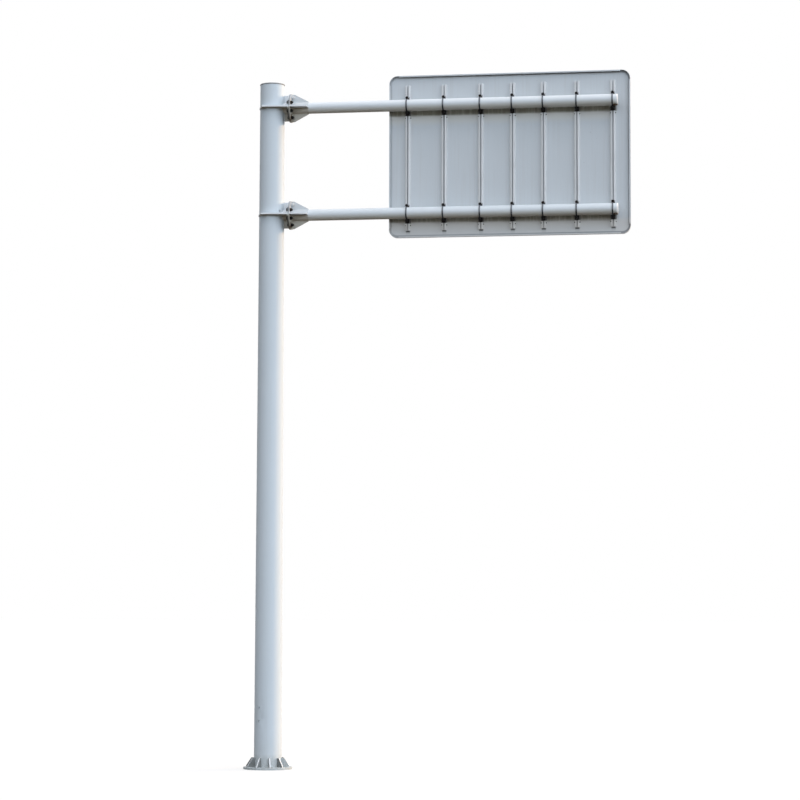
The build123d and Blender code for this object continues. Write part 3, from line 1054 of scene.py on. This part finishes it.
def add_plate_welds(shape):
    """Straight weld beads on both sides of the gussets' feet and of the arms' ribs."""
    plate_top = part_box("base_plate")[1].z
    inner = column_radius(plate_top)
    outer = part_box("base_gussets")[1].x
    for gusset in range(GUSSET_COUNT):
        spin = Matrix.Rotation(math.tau * gusset / GUSSET_COUNT, 3, "Z")
        for side in (-1, 1):
            start = Vector((inner, side * GUSSET_THICKNESS / 2, plate_top))
            end = Vector((outer, side * GUSSET_THICKNESS / 2, plate_top))
            path, normals = line_path(spin @ start, spin @ end, spin @ Vector((0, side, 1)))
            bead(shape, path, normals, PLATE_WELD, False)
    for level in LEVELS:
        axis = Vector((0, 0, arm_middle(level)))
        crown = math.sqrt(tube_radius(level) ** 2 - (RIB_THICKNESS / 2) ** 2)
        for turn in range(RIB_COUNT):
            spin = Matrix.Rotation(math.tau * turn / RIB_COUNT, 3, "X")
            for side in (-1, 1):
                start = Vector((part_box(f"{level}_arm_flange")[1].x, side * RIB_THICKNESS / 2, crown))
                end = Vector((rib_end(level), side * RIB_THICKNESS / 2, crown))
                path, normals = line_path(spin @ start + axis, spin @ end + axis, spin @ Vector((0, side, 1)))
                bead(shape, path, normals, PLATE_WELD, False)


def add_welds(material):
    """Straight beads along gussets and ribs, and round ones on the column and at both ends of the arms."""
    shape = Shape()
    add_plate_welds(shape)
    plate_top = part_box("base_plate")[1].z
    bead(shape, *round_path((0, 0, plate_top), column_radius(plate_top), 1, "Z"), FOOT_WELD, True)
    cap_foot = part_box("column_cap")[0].z
    bead(shape, *round_path((0, 0, cap_foot), column_radius(cap_foot), -1, "Z"), COLUMN_CAP_WELD, True)
    for level in LEVELS:
        low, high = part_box(f"{level}_ring_plate")
        for height, rise in ((high.z, 1), (low.z, -1)):
            bead(shape, *round_path((0, 0, height), column_radius(height), rise, "Z"), RING_WELD, True)
        radius = tube_radius(level)
        start = (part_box(f"{level}_arm_tube")[0].x, 0, arm_middle(level))
        bead(shape, *round_path(start, radius, 1, "X"), ARM_WELD, True)
        cap = (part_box(f"{level}_arm_cap")[0].x, 0, arm_middle(level))
        bead(shape, *round_path(cap, radius - ARM_CAP_WELD_INSET, 0, "X"), ARM_CAP_WELD, True)
    shape.to_piece("weld_beads", material, smooth_angle=180)


def direct_ray(tree):
    """One for rays from the camera, from gloss and through glass, and zero for diffuse light."""
    path = tree.nodes.new("ShaderNodeLightPath")
    first = tree.nodes.new("ShaderNodeMath")
    second = tree.nodes.new("ShaderNodeMath")
    first.operation = second.operation = "MAXIMUM"
    tree.links.new(path.outputs["Is Camera Ray"], first.inputs[0])
    tree.links.new(path.outputs["Is Glossy Ray"], first.inputs[1])
    tree.links.new(first.outputs[0], second.inputs[0])
    tree.links.new(path.outputs["Is Transmission Ray"], second.inputs[1])
    return second.outputs[0]


def add_floor():
    """Wide pale floor: white to the camera with a faint shadow, dull to the light that bounces off it."""
    half = FLOOR_SIZE / 2
    corners = [(-half, -half, 0), (half, -half, 0), (half, half, 0), (-half, half, 0)]
    mesh = bpy.data.meshes.new("floor")
    mesh.from_pydata(corners, [], [(0, 1, 2, 3)])
    floor = bpy.data.objects.new("floor", mesh)
    bpy.context.scene.collection.objects.link(floor)
    floor.location.z = -FLOOR_DROP
    material = bpy.data.materials.new("pale_floor")
    material.use_nodes = True
    tree = material.node_tree
    tree.nodes.clear()
    output = tree.nodes.new("ShaderNodeOutputMaterial")
    seen = tree.nodes.new("ShaderNodeMixShader")
    glow = tree.nodes.new("ShaderNodeEmission")
    pale = tree.nodes.new("ShaderNodeBsdfDiffuse")
    dull = tree.nodes.new("ShaderNodeBsdfDiffuse")
    choose = tree.nodes.new("ShaderNodeMixShader")
    glow.inputs["Color"].default_value = WHITE
    glow.inputs["Strength"].default_value = FLOOR_GLOW
    pale.inputs["Color"].default_value = FLOOR_PALE
    dull.inputs["Color"].default_value = FLOOR_BOUNCE
    seen.inputs["Fac"].default_value = FLOOR_SHADOW_SHARE
    tree.links.new(glow.outputs[0], seen.inputs[1])
    tree.links.new(pale.outputs[0], seen.inputs[2])
    tree.links.new(direct_ray(tree), choose.inputs["Fac"])
    tree.links.new(dull.outputs[0], choose.inputs[1])
    tree.links.new(seen.outputs[0], choose.inputs[2])
    tree.links.new(choose.outputs[0], output.inputs["Surface"])
    mesh.materials.append(material)


def add_sky():
    """White surround for the camera, and soft sky light for the object."""
    world = bpy.data.worlds.new("studio_sky")
    bpy.context.scene.world = world
    world.use_nodes = True
    tree = world.node_tree
    tree.nodes.clear()
    output = tree.nodes.new("ShaderNodeOutputWorld")
    direction = tree.nodes.new("ShaderNodeTexCoord")
    parts = tree.nodes.new("ShaderNodeSeparateXYZ")
    colours = tree.nodes.new("ShaderNodeValToRGB")
    bands = colours.color_ramp.elements
    while len(bands) < len(SKY_BANDS):
        bands.new(0.5)
    for band, (position, colour) in zip(bands, SKY_BANDS):
        band.position = position
        band.color = colour
    light = tree.nodes.new("ShaderNodeBackground")
    towards = tree.nodes.new("ShaderNodeVectorMath")
    towards.operation = "DOT_PRODUCT"
    towards.inputs[1].default_value = SKY_BRIGHT_SIDE
    strength = tree.nodes.new("ShaderNodeMath")
    strength.operation = "MULTIPLY_ADD"
    strength.inputs[1].default_value = SKY_STRENGTH * SKY_BRIGHT_SHARE
    strength.inputs[2].default_value = SKY_STRENGTH
    white = tree.nodes.new("ShaderNodeBackground")
    white.inputs["Color"].default_value = WHITE
    choose = tree.nodes.new("ShaderNodeMixShader")
    tree.links.new(direction.outputs["Generated"], parts.inputs["Vector"])
    tree.links.new(direction.outputs["Generated"], towards.inputs[0])
    tree.links.new(towards.outputs["Value"], strength.inputs[0])
    tree.links.new(strength.outputs[0], light.inputs["Strength"])
    tree.links.new(parts.outputs["Z"], colours.inputs["Fac"])
    tree.links.new(colours.outputs["Color"], light.inputs["Color"])
    tree.links.new(direct_ray(tree), choose.inputs["Fac"])
    tree.links.new(light.outputs[0], choose.inputs[1])
    tree.links.new(white.outputs[0], choose.inputs[2])
    tree.links.new(choose.outputs[0], output.inputs["Surface"])


def add_sun():
    """Warm sun low behind the right-hand side of the view."""
    data = bpy.data.lights.new("sun", "SUN")
    data.energy = SUN_STRENGTH
    data.angle = SUN_SOFTNESS
    data.color = SUN_COLOUR
    sun = bpy.data.objects.new("sun", data)
    bpy.context.scene.collection.objects.link(sun)
    level = math.cos(SUN_ELEVATION)
    towards = Vector((level * math.cos(SUN_AZIMUTH), level * math.sin(SUN_AZIMUTH), math.sin(SUN_ELEVATION)))
    sun.rotation_mode = "QUATERNION"
    sun.rotation_quaternion = towards.to_track_quat("Z", "Y")
    sun.location = towards * SUN_DISTANCE


def add_camera():
    """Camera at eye height, well back from the sign and a little towards its far end."""
    data = bpy.data.cameras.new("camera")
    data.sensor_width = CAMERA_SENSOR
    data.lens = CAMERA_LENS
    data.clip_end = CAMERA_REACH
    camera = bpy.data.objects.new("camera", data)
    bpy.context.scene.collection.objects.link(camera)
    turn = Matrix.Rotation(CAMERA_YAW, 4, "Z")
    tilt = Matrix.Rotation(math.pi / 2 + CAMERA_PITCH, 4, "X")
    roll = Matrix.Rotation(CAMERA_ROLL, 4, "Z")
    camera.matrix_world = Matrix.Translation(CAMERA_PLACE) @ turn @ tilt @ roll
    bpy.context.scene.camera = camera


materials = {
    "grey_white_paint": coated_steel(),
    "panel_aluminium": weathered_sheet(),
    "rail_aluminium": extruded_rail(),
    "sign_facing": sign_facing(),
    "dark_steel": dark_steel("black_bolts", BOLT_TONES, rust_share=0.25, shade_share=0.8, gloss=0.04),
}
strap_steel = dark_steel("grey_straps", STRAP_TONES, rust_share=0.25, shade_share=0.75, gloss=0.08)
saddle_steel = dark_steel("zinc_saddles", SADDLE_TONES, rust_share=0.15, shade_share=0.95, gloss=0.08)
finishes = {f"{level}_clamp_straps": strap_steel for level in LEVELS}
finishes.update({f"{level}_clamp_saddles": saddle_steel for level in LEVELS})
dress_nodes(materials, finishes)
add_flange_bolts(materials["dark_steel"], materials["grey_white_paint"])
add_clamp_bolts(materials["dark_steel"])
add_rivets(materials["rail_aluminium"], materials["dark_steel"])
add_level_plates(materials["grey_white_paint"])
add_welds(materials["grey_white_paint"])
add_floor()
add_sky()
add_sun()
add_camera()
bpy.context.scene.view_settings.view_transform = "Standard"
